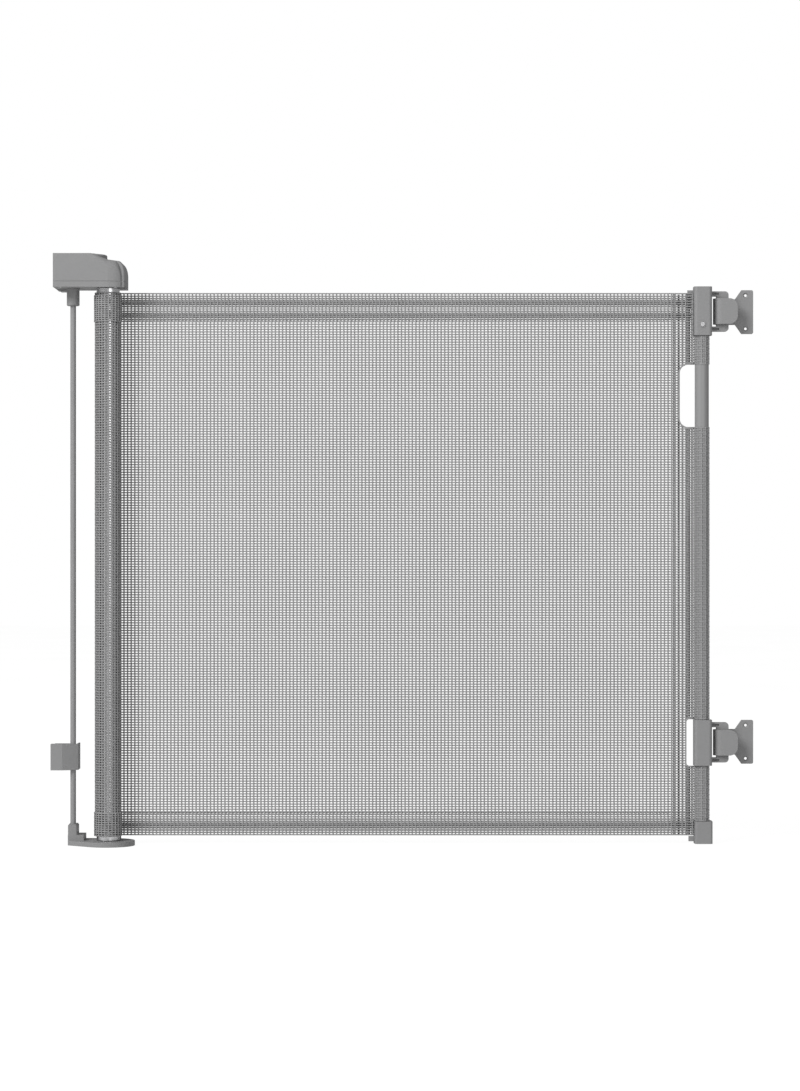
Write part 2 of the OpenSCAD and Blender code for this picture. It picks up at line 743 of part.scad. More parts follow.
// Back half of a clip with its latch loop
module clip_back(z_mid, h, lid) {
    bar = bar_x0 - reach;
    color(plastic) translate([reach, mesh_y, z_mid]) difference() {
        union() {
            intersection() {
                translate([0, 0, -h / 2]) clip_body(h);
                translate([-50, face_gap / 2, -h]) cube([100, 50, 2 * h]);
            }
            translate([0, -hook_mid - mesh_y - bar_t / 2, 0]) {
                for (s = [-1, 1]) translate([clip_right - 2, 0, s * (loop_h - loop_arm) / 2 - loop_arm / 2])
                    cube([bar - clip_right + bar_w - 3, bar_t, loop_arm]);
                translate([bar, 0, -loop_h / 2 + 5]) cube([bar_w, bar_t, loop_h - 10]);
                for (s = [-1, 1]) translate([bar + bar_w - 5, 0, s * (loop_h / 2 - 5)])
                    rotate([-90, 0, 0]) cylinder(r = 5, h = bar_t);
            }
        }
        translate([0, 0, -h / 2 - 1]) cylinder(r = post_r + press_gap, h = h + 1 - lid);
        for (s = [-1, 1]) translate([clip_right + 1.2, -hook_mid - mesh_y - bar_t / 2 - 1,
            s * (loop_h - loop_arm) / 2 - groove_w / 2]) cube([9.5, groove_d + 1, groove_w]);
        if (lid == 0) translate([0, 0, -19]) rotate([-90, 0, 0]) {
            cylinder(r = screw_r + 0.1, h = 30);
            translate([0, 0, clip_half - 1.2]) cylinder(r = screw_head_r + 0.4, h = 2);
        }
    }
}

module upper_clip() { clip_front(upper_latch_z, upper_clip_h, clip_lid); }

module upper_latch() {
    clip_back(upper_latch_z, upper_clip_h, clip_lid);
    color(plastic) translate([reach - clip_left - 8.5, mesh_y + mesh_t + face_gap, upper_latch_z + 4])
        cube([9.5, 2.2, mesh_top - upper_latch_z]);
}

module lower_clip() { clip_front(lower_latch_z, lower_clip_h, 0); }

module lower_latch() { clip_back(lower_latch_z, lower_clip_h, 0); }

module clip_screws() {
    color(steel) {
        translate([reach, mesh_y - clip_half + 1.2, upper_latch_z - 19]) rotate([-90, 0, 0])
            screw(6);
        translate([reach, mesh_y + clip_half - 1.2, lower_latch_z - 19]) rotate([90, 0, 0])
            screw(6);
    }
}

module post_cap() {
    color(plastic) translate([reach, mesh_y, 0]) difference() {
        union() {
            translate([cap_shift - clip_half, -clip_half, cap_z0]) linear_extrude(cap_h)
                round_rect(2 * clip_half, 2 * clip_half, 3.5);
            translate([cap_shift - clip_half - 7.9, -3, cap_z0 + 3]) cube([9.5, 6, 7]);
        }
        translate([0, 0, post_z0]) cylinder(r = post_r + press_gap, h = cap_h);
    }
}

// Room in the sewn mesh for the cap, the clips, the lower slot and the hand hole
module mesh_cuts() {
    translate([reach - clip_half + cap_shift - face_gap, -stand, 0]) cube([40, stand, cap_top]);
    translate([reach - clip_left - face_gap, -stand, clip_bottom]) cube([40, stand, 100]);
    translate([reach - post_r - slot_w, -stand, lower_latch_z - slot_h / 2])
        cube([60, stand, slot_h]);
    translate([reach - post_r - hand_hole_w, 0, hole_z - hand_hole_h / 2]) rotate([90, 0, 0])
        linear_extrude(stand) {
            round_rect(hand_hole_w * 2, hand_hole_h, hand_hole_r);
            translate([hand_hole_w, 0]) square([40, hand_hole_h]);
        }
}

module mesh_strip() {
    color(fabric) difference() {
        translate([seam_start, mesh_y - mesh_t, mesh_lift]) cube([seam_w + 0.2, 2 * mesh_t, mesh_h]);
        translate([reach, mesh_y, 0]) cylinder(r = pocket_r, h = mesh_top + 10);
        mesh_cuts();
    }
}

module mesh_pocket() {
    color(fabric) difference() {
        translate([reach, mesh_y, cap_top]) cylinder(r = pocket_r, h = clip_bottom - cap_top);
        translate([reach, mesh_y, 0]) cylinder(r = post_r + press_gap, h = mesh_top + 10);
        mesh_cuts();
    }
}

module mesh_panel() {
    color(fabric) translate([panel_start, mesh_y - mesh_t / 2, mesh_lift])
        cube([seam_start - panel_start, mesh_t, mesh_h]);
}

bottom_bracket();
pivot_pin();
thrust_washer();
support_rod();
rod_ferrule();
rod_clip_base();
rod_clip_cover();
rod_clip_screw();
housing_base();
housing_cover();
housing_screws();
top_bush();
pawl_pin();
pawl_spring();
upper_hook();
lower_hook();
roller_tube();
bottom_plug();
top_plug();
ratchet_wheel();
stub_clip();
return_spring();
mesh_roll();
lock_dial();
lock_cam();
release_button();
button_spring();
pawl();
post_tube();
post_plug();
upper_clip();
upper_latch();
lower_clip();
lower_latch();
clip_screws();
post_cap();
mesh_strip();
mesh_pocket();
mesh_panel();
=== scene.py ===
import json
import math

import bpy
from bpy.props import FloatProperty, FloatVectorProperty, IntProperty, PointerProperty
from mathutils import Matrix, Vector


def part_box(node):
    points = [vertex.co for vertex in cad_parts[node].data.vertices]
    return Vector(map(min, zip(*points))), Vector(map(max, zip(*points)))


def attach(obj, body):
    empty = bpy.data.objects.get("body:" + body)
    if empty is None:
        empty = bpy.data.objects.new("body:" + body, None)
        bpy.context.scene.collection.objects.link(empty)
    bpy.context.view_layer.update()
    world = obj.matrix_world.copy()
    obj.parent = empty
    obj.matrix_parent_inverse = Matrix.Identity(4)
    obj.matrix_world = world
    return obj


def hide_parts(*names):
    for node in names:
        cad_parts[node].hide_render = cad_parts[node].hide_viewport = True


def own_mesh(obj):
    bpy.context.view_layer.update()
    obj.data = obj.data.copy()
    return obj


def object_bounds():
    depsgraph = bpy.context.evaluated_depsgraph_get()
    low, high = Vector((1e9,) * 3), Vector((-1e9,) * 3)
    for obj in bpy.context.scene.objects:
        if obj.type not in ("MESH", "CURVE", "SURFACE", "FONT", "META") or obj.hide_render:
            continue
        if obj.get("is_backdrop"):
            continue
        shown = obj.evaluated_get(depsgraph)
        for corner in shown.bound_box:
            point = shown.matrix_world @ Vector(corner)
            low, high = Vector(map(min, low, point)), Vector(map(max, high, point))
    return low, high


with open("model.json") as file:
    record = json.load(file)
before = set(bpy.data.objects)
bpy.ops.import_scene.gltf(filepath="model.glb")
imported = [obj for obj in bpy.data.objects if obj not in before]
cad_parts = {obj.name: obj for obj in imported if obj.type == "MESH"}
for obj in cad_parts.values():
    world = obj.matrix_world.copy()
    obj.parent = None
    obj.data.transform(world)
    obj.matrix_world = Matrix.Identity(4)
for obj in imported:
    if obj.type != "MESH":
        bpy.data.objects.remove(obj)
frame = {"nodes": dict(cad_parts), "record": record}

bl_info = {
    "name": "Retractable Mesh Gate",
    "version": (1, 0, 0),
    "blender": (4, 5, 0),
    "location": "View3D > Sidebar > Mesh Gate",
    "description": "Dresses the gate's frame in woven mesh, moulded plastic and coated metal",
    "category": "Object",
}

# Lengths in metres. First the cuts: the shortest yarn that is kept, the corner of a square cut,
# how far a cut runs past the mesh, how far the lower slot goes past its box and past its clip,
# the room round the upper clip and the cap, and how far the mesh laps over the cap.
SHORTEST_YARN = 0.002
SQUARE = 0.0001
BEYOND = 0.05
SLOT_LAP = 0.0008
SLOT_MARGIN = 0.001
CLIP_GAP = 0.0003
CAP_LAP = 0.0078

# Then the seam: how far its columns go past its box, how far its front layer lies forward, where
# its back layer's edge and first yarn start, how far its cords end inside the mesh's edges, and
# how far the pocket's yarns lie inside its surface.
SEAM_PAST = 0.0006
SEAM_FORWARD = 0.0001
BACK_EDGE = 0.0012
BACK_START = 0.0023
CORD_END = 0.001
POCKET_INSET = 0.0005

# Where the pocket's weave starts on its way round the post.
POCKET_START = math.radians(190)

# Which way the mesh's front faces.
FRONT = (0, -1, 0)

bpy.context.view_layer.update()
SHOWN = frame["nodes"]


# ---- settings a user would change ----


def metres(name, description, default):
    return FloatProperty(name=name, description=description, default=default, unit="LENGTH")


def tint(name, description, default):
    return FloatVectorProperty(
        name=name, description=description, default=default, subtype="COLOR", min=0, max=1)


def strength(name, description, default):
    return FloatProperty(name=name, description=description, default=default, min=0)


class GateMeshSettings(bpy.types.PropertyGroup):
    """Sizes of the woven mesh"""

    column_pitch: metres("Column Pitch", "Distance between upright yarns", 0.00511)
    row_pitch: metres("Row Pitch", "Distance between level yarns", 0.00362)
    column_width: metres("Upright Yarn Width", "Width of an upright yarn", 0.00205)
    row_width: metres("Level Yarn Width", "Width of a level yarn", 0.0017)
    yarn_thickness: metres("Yarn Thickness", "Thickness of both yarns", 0.0007)
    crimp: metres("Crimp", "How far a yarn rises and dips where it crosses another", 0.00022)
    top_hem: metres("Top Hem", "Height of the folded hem at the top", 0.0415)
    bottom_hem: metres("Bottom Hem", "Height of the folded hem at the bottom", 0.0335)
    top_hem_pitch: metres("Top Hem Pitch", "Distance between level yarns folded into the top hem", 0.0029)
    bottom_hem_pitch: metres(
        "Bottom Hem Pitch", "Distance between level yarns folded into the bottom hem", 0.0031)
    pocket_pitch: metres("Pocket Column Pitch", "Distance between upright yarns round the post", 0.0057)
    roll_gap: metres("Roll Turn Gap", "Distance from one turn of the roll to the next", 0.0011)
    roll_slack: metres("Roll Slack", "How far the outer turn lies inside the roll's stated radius", 0.0016)
    first_column: metres("First Column", "From the panel's start to its first pitch of yarn", 0.0007)
    back_pitch: metres("Seam Back Pitch", "Distance between upright yarns in the seam's back layer", 0.0064)
    layer_gap: metres("Layer Gap", "Distance from one layer of mesh to the next", 0.0012)
    hole_corner: metres("Hand Hole Corner", "Corner radius of the hand hole", 0.012)
    hole_margin: metres("Hand Hole Margin", "From the hand hole's stated room to its cut edge", 0.0037)
    slot_corner: metres("Slot Corner", "Corner radius of the lower slot", 0.004)
    rim_width: metres("Rim Width", "Width of the bound rim round the openings", 0.0022)
    rim_thickness: metres("Rim Thickness", "Thickness of the bound rim round the openings", 0.0024)
    panel_pieces: IntProperty(
        name="Panel Pieces", description="Pieces that the free panel is made in", default=4, min=1)
    thread: metres("Thread", "Thickness of the sewing thread", 0.0007)
    stitch: metres("Stitch", "Length of a stitch along the hems", 0.0034)
    stitch_gap: metres("Stitch Gap", "From one stitch to the next along the hems", 0.0017)
    stitch_inset: metres("Stitch Inset", "From a hem's sewn edge to its stitches", 0.0022)
    # The seam's cords use the near-black thread: sewn cord and painted shade of the seam's fold in one.
    cord_gap: metres("Seam Cord Gap", "From one stitch of the seam's cord to the next", 0.0002)
    cord: metres("Seam Cord", "Width of the cord sewn down the seam", 0.003)


class GateFinishSettings(bpy.types.PropertyGroup):
    """Colours of the finishes"""

    plastic: tint("Plastic", "Grey moulded plastic", (0.25, 0.25, 0.252))
    button: tint("Button", "Darker plastic of the button", (0.19, 0.19, 0.192))
    yarn: tint("Yarn", "Vinyl coat of the mesh's yarns", (0.32, 0.32, 0.322))
    # This near-black is partly painted shade: the seam's cords share it and stand in for the deep shade down
    # the seam's fold.
    thread: tint("Thread", "Dark sewing thread", (0.02, 0.02, 0.021))
    coated: tint("Coated Metal", "Powder coat of the post and rod", (0.262, 0.262, 0.264))
    aluminium: tint("Aluminium", "Satin aluminium of the roller tube", (0.8, 0.8, 0.81))
    steel: tint("Steel", "Plated steel of screws and springs", (0.6, 0.6, 0.61))
    nylon: tint("Nylon", "Dark nylon of the plugs and bushes", (0.1, 0.1, 0.102))


class GateStageSettings(bpy.types.PropertyGroup):
    """Camera and light"""

    distance: metres("Camera Distance", "From the mesh to the camera", 4.4)
    field_height: metres("Field Height", "Height that the view takes in at the mesh", 1.5492)
    eye_height: metres("Eye Height", "Height of the camera", 0.4235)
    eye_across: metres("Eye Across", "Place of the camera along the gate", 0.4125)
    key_power: strength("Key Light", "Power of the large light at the left", 640)
    fill_power: strength("Fill Light", "Power of the light at the right", 30)
    surround: strength("Surround", "Strength of the light from all round", 0.3)


# ---- small helpers ----


def settings():
    return bpy.context.scene.mesh_gate


def put(obj, finish):
    """Gives a piece its finish."""
    obj.data.materials.clear()
    obj.data.materials.append(bpy.data.materials[finish])
    return obj


def mesh_piece(name, points, faces, finish, spans, flat=()):
    """A smooth piece. spans holds each corner's place along and round its yarn, flat the faces left flat."""
    mesh = bpy.data.meshes.new(name)
    mesh.from_pydata(points, [], faces)
    layer = mesh.uv_layers.new(name="Yarn")
    layer.data.foreach_set("uv", [value for span in spans for value in span])
    smooth = [True] * len(faces)
    for face in flat:
        smooth[face] = False
    mesh.polygons.foreach_set("use_smooth", smooth)
    obj = bpy.data.objects.new(name, mesh)
    bpy.context.scene.collection.objects.link(obj)
    return put(obj, finish)


def spread(start, end, pitch, even=False):
    """Places of the yarns between two edges, half a pitch in from each."""
    count = max(2, round((end - start) / pitch))
    count += count % 2 if even else 0
    step = (end - start) / count
    return [start + step * (i + 0.5) for i in range(count)]


def rows_between(low, high, pitch):
    """Places of the level yarns, with one along each edge."""
    width = settings().mesh.row_width
    count = round((high - low - width) / pitch)
    return [low + width / 2 + (high - low - width) / count * i for i in range(count + 1)]


class Yarns:
    """Gathers the yarns of one woven piece, put where place(across, up, out) says."""

    def __init__(self, place):
        self.place, self.points, self.faces, self.spans, self.ends = place, [], [], [], []

    def lay(self, line, flat, half_width, half_thick):
        """A four-sided yarn along (across, up, out) points. Its width lies across if flat is 0, else up."""
        first = len(self.points)
        for across, up, out in line:
            for side, lift in ((-1, 0), (0, 1), (1, 0), (0, -1)):
                shift = [0, 0]
                shift[flat] = side * half_width
                self.points.append(self.place(across + shift[0], up + shift[1], out + lift * half_thick))
        lengths = [line[0][1 - flat]]
        lane = line[0][flat] * 100
        for a, b in zip(line, line[1:]):
            lengths.append(lengths[-1] + math.dist(a, b))
        for ring in range(len(line) - 1):
            for side in range(4):
                a = first + ring * 4 + side
                b = first + ring * 4 + (side + 1) % 4
                quad = [(a, ring, side), (b, ring, side + 1),
                        (b + 4, ring + 1, side + 1), (a + 4, ring + 1, side)]
                if flat:
                    quad.reverse()
                self.faces.append([q[0] for q in quad])
                self.spans += [(lengths[q[1]], lane + q[2] / 4) for q in quad]
        last = len(self.points) - 4
        start_cap = [first + 3, first + 2, first + 1, first]
        end_cap = [last, last + 1, last + 2, last + 3]
        for cap, at in ((start_cap, 0), (end_cap, -1)):
            self.ends.append(len(self.faces))
            self.faces.append(cap[::-1] if flat else cap)
            self.spans += [(lengths[at], lane + side / 4) for side in range(4)]

    def piece(self, name):
        return mesh_piece(name, self.points, self.faces, "Vinyl Yarn", self.spans, self.ends)


def weave(name, columns, rows, across, up, place, cuts=(), phase=0):
    """Upright and level yarns that pass over and under each other from edge to edge, stopped at each cut."""
    size = settings().mesh
    half = size.yarn_thickness / 2
    yarns = Yarns(place)

    def over(i, j):
        return size.crimp if (i + j + phase) % 2 else -size.crimp

    for i, x in enumerate(columns):
        for low, high in stretches(x, up, [c.span(x) for c in cuts]):
            inner = [(x, z, over(i, j)) for j, z in enumerate(rows) if low + half < z < high - half]
            if inner:
                line = [(x, low, 0), *inner, (x, high, 0)]
                yarns.lay(line, 0, size.column_width / 2, half)
    for j, z in enumerate(rows):
        for left, right in stretches(z, across, [c.reach(z, across[1]) for c in cuts]):
            inner = [(x, z, -over(i, j)) for i, x in enumerate(columns) if left + half < x < right - half]
            if inner:
                line = [(left, z, 0), *inner, (right, z, 0)]
                yarns.lay(line, 1, size.row_width / 2, half)
    return yarns.piece(name)


def stretches(at, ends, gaps):
    """What is left of a yarn between its ends once the gaps are cut out."""
    left, low = [], ends[0]
    for gap in sorted(g for g in gaps if g):
        if gap[0] > low:
            left.append((low, min(gap[0], ends[1])))
        low = max(low, gap[1])
    if low < ends[1]:
        left.append((low, ends[1]))
    return [span for span in left if span[1] - span[0] > SHORTEST_YARN]


class Notch:
    """An opening cut in from the mesh's right edge, with two round corners at its left."""

    def __init__(self, left, bottom, top, corner):
        self.left, self.bottom, self.top, self.corner = left, bottom, top, corner

    def inset(self, depth):
        r = self.corner
        return r - math.sqrt(max(0, r * r - (r - depth) ** 2)) if depth < r else 0

    def span(self, x):
        if x <= self.left:
            return None
        inset = self.inset(x - self.left)
        return self.bottom + inset, self.top - inset

    def reach(self, z, end):
        if not self.bottom < z < self.top:
            return None
        return self.left + self.inset(min(z - self.bottom, self.top - z)), end + 1

    def outline(self, right, steps=8):
        """Points along its edge, from the right end of its top to the right end of its bottom."""
        r = self.corner
        points = [(right, self.top)]
        for centre, start in (((self.left + r, self.top - r), 90), ((self.left + r, self.bottom + r), 180)):
            for i in range(steps + 1):
                a = math.radians(start + 90 * i / steps)
                points.append((centre[0] + r * math.cos(a), centre[1] + r * math.sin(a)))
        return points + [(right, self.bottom)]


def flat_at(y):
    """Places a mesh flat at depth y, its outer face towards the front."""
    return lambda across, up, out: (across, y - out, up)


def round_axis(x, y, radius, start=math.pi):
    """Wraps a mesh round an upright axis: across is the way round, from the left over the front."""
    def place(across, up, out):
        a = start + across / radius
        return x + (radius + out) * math.cos(a), y + (radius + out) * math.sin(a), up
    return place


def stitches(name, line, length, gap, out, width=None):
    """A row of thread stitches along a line of points on the mesh, each one a small arched bar."""
    thread = settings().mesh.thread / 2
    sides = 6
    width = width / 2 if width else thread
    points, faces, spans = [], [], []
    for a, b in zip(line, line[1:]):
        a, b = Vector(a), Vector(b)
        run = (b - a).length
        way = (b - a) / run
        side = way.cross(Vector(out)).normalized()
        lift = Vector(out).normalized()
        at = gap / 2
        while at + length < run:
            first = len(points)
            for share, rise in ((0, 0), (0.15, 1), (0.5, 1.25), (0.85, 1), (1, 0)):
                centre = a + way * (at + length * share) + lift * (rise * thread)
                for k in range(sides):
                    turn = math.radians(360 * k / sides)
                    offset = side * math.cos(turn) * width + lift * math.sin(turn) * thread * 0.8
                    points.append(tuple(centre + offset))
            for ring in range(4):
                for k in range(sides):
                    here, after = first + ring * sides + k, first + ring * sides + (k + 1) % sides
                    faces.append([here, here + sides, after + sides, after])
                    spans += [(ring, k / sides), (ring + 1, k / sides)]
                    spans += [(ring + 1, (k + 1) / sides), (ring, (k + 1) / sides)]
            faces.append([first + k for k in range(sides)])
            faces.append([first + 4 * sides + k for k in range(sides - 1, -1, -1)])
            spans += [(0, k / sides) for k in range(sides)]
            spans += [(4, k / sides) for k in range(sides - 1, -1, -1)]
            at += length + gap
    return mesh_piece(name, points, faces, "Sewing Thread", spans)


def bound_rim(name, path, y, width, thickness):
    """A folded binding of soft round section along a path of (x, z) in the mesh's plane."""
    points, faces, spans = [], [], []
    sides = 8
    length = 0.0
    for i, (x, z) in enumerate(path):
        before, after = Vector(path[max(i - 1, 0)]), Vector(path[min(i + 1, len(path) - 1)])
        way = (after - before).normalized()
        across = Vector((-way.y, way.x))
        length += (Vector((x, z)) - Vector(path[max(i - 1, 0)])).length
        for k in range(sides):
            a = math.radians(360 * k / sides)
            w, t = math.cos(a), math.sin(a)
            w = math.copysign(abs(w) ** 0.6, w) * width / 2
            points.append((x + across.x * w, y + t * thickness / 2, z + across.y * w))
        if i:
            for k in range(sides):
                p, q = (i - 1) * sides + k, (i - 1) * sides + (k + 1) % sides
                faces.append([p, q, q + sides, p + sides])
                spans += [(length, k / sides), (length, (k + 1) / sides)]
                spans += [(length + 0.001, (k + 1) / sides), (length + 0.001, k / sides)]
    faces.append(list(range(sides - 1, -1, -1)))
    spans += [(0, k / sides) for k in range(sides - 1, -1, -1)]
    faces.append([len(points) - sides + k for k in range(sides)])
    spans += [(length, k / sides) for k in range(sides)]
    return mesh_piece(name, points, faces, "Vinyl Yarn", spans)


# ---- finishes ----


def node(tree, kind, **values):
    made = tree.nodes.new("ShaderNode" + kind)
    for key, value in values.items():
        if key.startswith("set_"):
            setattr(made, key[4:], value)
        else:
            made.inputs[key.replace("_", " ")].default_value = value
    return made


def group(name, inputs, outputs):
    made = bpy.data.node_groups.new(name, "ShaderNodeTree")
    for label, kind, value in inputs:
        socket = made.interface.new_socket(label, in_out="INPUT", socket_type="NodeSocket" + kind)
        socket.default_value = value
    for label, kind in outputs:
        made.interface.new_socket(label, in_out="OUTPUT", socket_type="NodeSocket" + kind)
    return made, made.nodes.new("NodeGroupInput"), made.nodes.new("NodeGroupOutput")


def scaled_noise(tree, source, scale, detail, stretch=(1, 1, 1), rough=0.5):
    """Noise on the piece's own coordinates, stretched by three scales."""
    link = tree.links.new
    mapping = node(tree, "Mapping")
    mapping.inputs["Scale"].default_value = stretch
    link(source, mapping.inputs["Vector"])
    noise = node(tree, "TexNoise", Scale=scale, Detail=detail, Roughness=rough)
    link(mapping.outputs["Vector"], noise.inputs["Vector"])
    return noise.outputs["Fac"]


def remap(tree, value, low, high, start=0.3, stop=0.7):
    made = node(tree, "MapRange", From_Min=start, From_Max=stop, To_Min=low, To_Max=high)
    tree.links.new(value, made.inputs["Value"])
    return made.outputs["Result"]


def arithmetic(tree, action, a, b):
    made = node(tree, "Math", set_operation=action)
    for socket, value in zip(made.inputs, (a, b)):
        if isinstance(value, (int, float)):
            socket.default_value = value
        else:
            tree.links.new(value, socket)
    return made.outputs[0]


def sway(tree, value, amount):
    """How far a noise value lies from its middle, times an amount."""
    return arithmetic(tree, "MULTIPLY", arithmetic(tree, "SUBTRACT", value, 0.5), amount)


def shares(tree, coarse, fine, share):
    """A share of one value and the rest of another."""
    rest = arithmetic(tree, "MULTIPLY", fine, 1 - share)
    return arithmetic(tree, "ADD", arithmetic(tree, "MULTIPLY", coarse, share), rest)


def product(tree, a, b, c):
    """Three values multiplied."""
    return arithmetic(tree, "MULTIPLY", arithmetic(tree, "MULTIPLY", a, b), c)


def tinted(tree, tone, factor):
    """A colour made lighter or darker by a factor that varies over the surface."""
    made = node(tree, "VectorMath", set_operation="SCALE")
    tree.links.new(tone, made.inputs[0])
    tree.links.new(factor, made.inputs["Scale"])
    return made.outputs[0]


def build_groups():
    """The shared effects: moulded grain, edge rub, settled dust, drawn lines and the yarn's coat."""
    tree, given, out = group("Moulded Grain", [
        ("Tone", "Color", (0.3, 0.3, 0.3, 1)), ("Mottle", "Float", 0.03), ("Gloss", "Float", 0.45)],
        [("Tone", "Color"), ("Roughness", "Float"), ("Relief", "Float")])
    link = tree.links.new
    place = node(tree, "TexCoord").outputs["Object"]
    cloudy = scaled_noise(tree, place, 35, 4)
    fine = scaled_noise(tree, place, 1400, 2)
    sparkle = scaled_noise(tree, place, 3200, 1)
    mottle = arithmetic(tree, "ADD", 1.0, sway(tree, cloudy, given.outputs["Mottle"]))
    tone = tinted(tree, given.outputs["Tone"], mottle)
    speck = remap(tree, sparkle, 0.985, 1.015)
    link(tinted(tree, tone, speck), out.inputs["Tone"])
    gloss = arithmetic(tree, "ADD", given.outputs["Gloss"], sway(tree, fine, 0.22))
    link(gloss, out.inputs["Roughness"])
    link(shares(tree, fine, sparkle, 0.7), out.inputs["Relief"])

    tree, given, out = group(
        "Edge Rub", [("Reach", "Float", 0.0008), ("Amount", "Float", 0.4)], [("Mask", "Float")])
    link = tree.links.new
    bevel = node(tree, "Bevel", set_samples=6)
    link(given.outputs["Reach"], bevel.inputs["Radius"])
    geometry = node(tree, "NewGeometry")
    turn = node(tree, "VectorMath", set_operation="DOT_PRODUCT")
    link(bevel.outputs[0], turn.inputs[0])
    link(geometry.outputs["Normal"], turn.inputs[1])
    edge = remap(tree, turn.outputs["Value"], 1.0, 0.0, 0.8, 0.99)
    place = node(tree, "TexCoord").outputs["Object"]
    patchy = remap(tree, scaled_noise(tree, place, 260, 3), 0.25, 1.0)
    link(product(tree, edge, patchy, given.outputs["Amount"]), out.inputs["Mask"])

    tree, given, out = group("Settled Dust", [("Amount", "Float", 0.3)], [("Mask", "Float")])
    link = tree.links.new
    split = node(tree, "SeparateXYZ")
    link(node(tree, "NewGeometry").outputs["Normal"], split.inputs[0])
    upward = remap(tree, split.outputs["Z"], 0.0, 1.0, 0.25, 1.0)
    place = node(tree, "TexCoord").outputs["Object"]
    patchy = remap(tree, scaled_noise(tree, place, 90, 5, rough=0.65), 0.1, 1.0)
    link(product(tree, upward, patchy, given.outputs["Amount"]), out.inputs["Mask"])

    tree, given, out = group("Drawn Lines", [
        ("Tone", "Color", (0.8, 0.8, 0.8, 1)), ("Gloss", "Float", 0.3), ("Depth", "Float", 0.1)],
        [("Tone", "Color"), ("Roughness", "Float"), ("Relief", "Float")])
    link = tree.links.new
    place = node(tree, "TexCoord").outputs["Object"]
    lines = scaled_noise(tree, place, 900, 3, (1, 1, 0.012))
    stains = scaled_noise(tree, place, 25, 3)
    shade = arithmetic(tree, "ADD", sway(tree, lines, given.outputs["Depth"]), 1.0)
    shade = arithmetic(tree, "MULTIPLY", shade, remap(tree, stains, 0.97, 1.03))
    link(tinted(tree, given.outputs["Tone"], shade), out.inputs["Tone"])
    gloss = arithmetic(tree, "ADD", given.outputs["Gloss"], sway(tree, lines, 0.25))
    link(gloss, out.inputs["Roughness"])
    link(lines, out.inputs["Relief"])

    tree, given, out = group("Yarn Coat", [
        ("Tone", "Color", (0.3, 0.3, 0.3, 1)), ("Gloss", "Float", 0.5)],
        [("Tone", "Color"), ("Roughness", "Float"), ("Relief", "Float")])
    link = tree.links.new
    along = node(tree, "UVMap", set_uv_map="Yarn").outputs["UV"]
    streaks = scaled_noise(tree, along, 8, 2, (60, 3, 1))
    place = node(tree, "TexCoord").outputs["Object"]
    lots = scaled_noise(tree, place, 14, 3)
    flecks = scaled_noise(tree, place, 2600, 1)
    shade = arithmetic(tree, "MULTIPLY", remap(tree, streaks, 0.93, 1.07), remap(tree, lots, 0.96, 1.04))
    shade = arithmetic(tree, "MULTIPLY", shade, remap(tree, flecks, 0.97, 1.03))
    link(tinted(tree, given.outputs["Tone"], shade), out.inputs["Tone"])
    gloss = arithmetic(tree, "ADD", given.outputs["Gloss"], sway(tree, streaks, 0.3))
    link(gloss, out.inputs["Roughness"])
    link(shares(tree, streaks, flecks, 0.6), out.inputs["Relief"])


def use(tree, name, **values):
    made = tree.nodes.new("ShaderNodeGroup")
    made.node_tree = bpy.data.node_groups[name]
    for key, value in values.items():
        made.inputs[key].default_value = value
    return made


def finish(name, effect, tone, gloss, relief, rub=0.0, dust=0.0, rub_reach=0.0008, rounding=0.0004,
           metal=0.0, specular=0.5, coat=0.0, sheen=0.0, **effect_values):
    """A finish: one surface effect, rubbed edges, a little dust on what faces up, and softened edges."""
    made = bpy.data.materials.new(name)
    made.use_nodes = True
    tree = made.node_tree
    link = tree.links.new
    shader = tree.nodes["Principled BSDF"]
    shader.inputs["Metallic"].default_value = metal
    shader.inputs["Specular IOR Level"].default_value = specular
    shader.inputs["Coat Weight"].default_value = coat
    shader.inputs["Coat Roughness"].default_value = 0.25
    shader.inputs["Sheen Weight"].default_value = sheen
    surface = use(tree, effect, Tone=(*tone, 1), Gloss=gloss, **effect_values)
    colour = surface.outputs["Tone"]
    for mask, amount, towards in (("Edge Rub", rub, 1.28), ("Settled Dust", dust, 1.12)):
        if amount:
            worn = use(tree, mask, Amount=amount)
            if mask == "Edge Rub":
                worn.inputs["Reach"].default_value = rub_reach
            mix = node(tree, "Mix", set_data_type="RGBA")
            link(worn.outputs["Mask"], mix.inputs["Factor"])
            link(colour, mix.inputs["A"])
            lighter = node(tree, "VectorMath", set_operation="SCALE")
            lighter.inputs["Scale"].default_value = towards
            link(colour, lighter.inputs[0])
            link(lighter.outputs[0], mix.inputs["B"])
            colour = mix.outputs["Result"]
    link(colour, shader.inputs["Base Color"])
    link(surface.outputs["Roughness"], shader.inputs["Roughness"])
    bump = node(tree, "Bump", Strength=0.35, Distance=relief)
    link(surface.outputs["Relief"], bump.inputs["Height"])
    if rounding:
        soft = node(tree, "Bevel", Radius=rounding, set_samples=6)
        link(soft.outputs[0], bump.inputs["Normal"])
    link(bump.outputs[0], shader.inputs["Normal"])
    return made


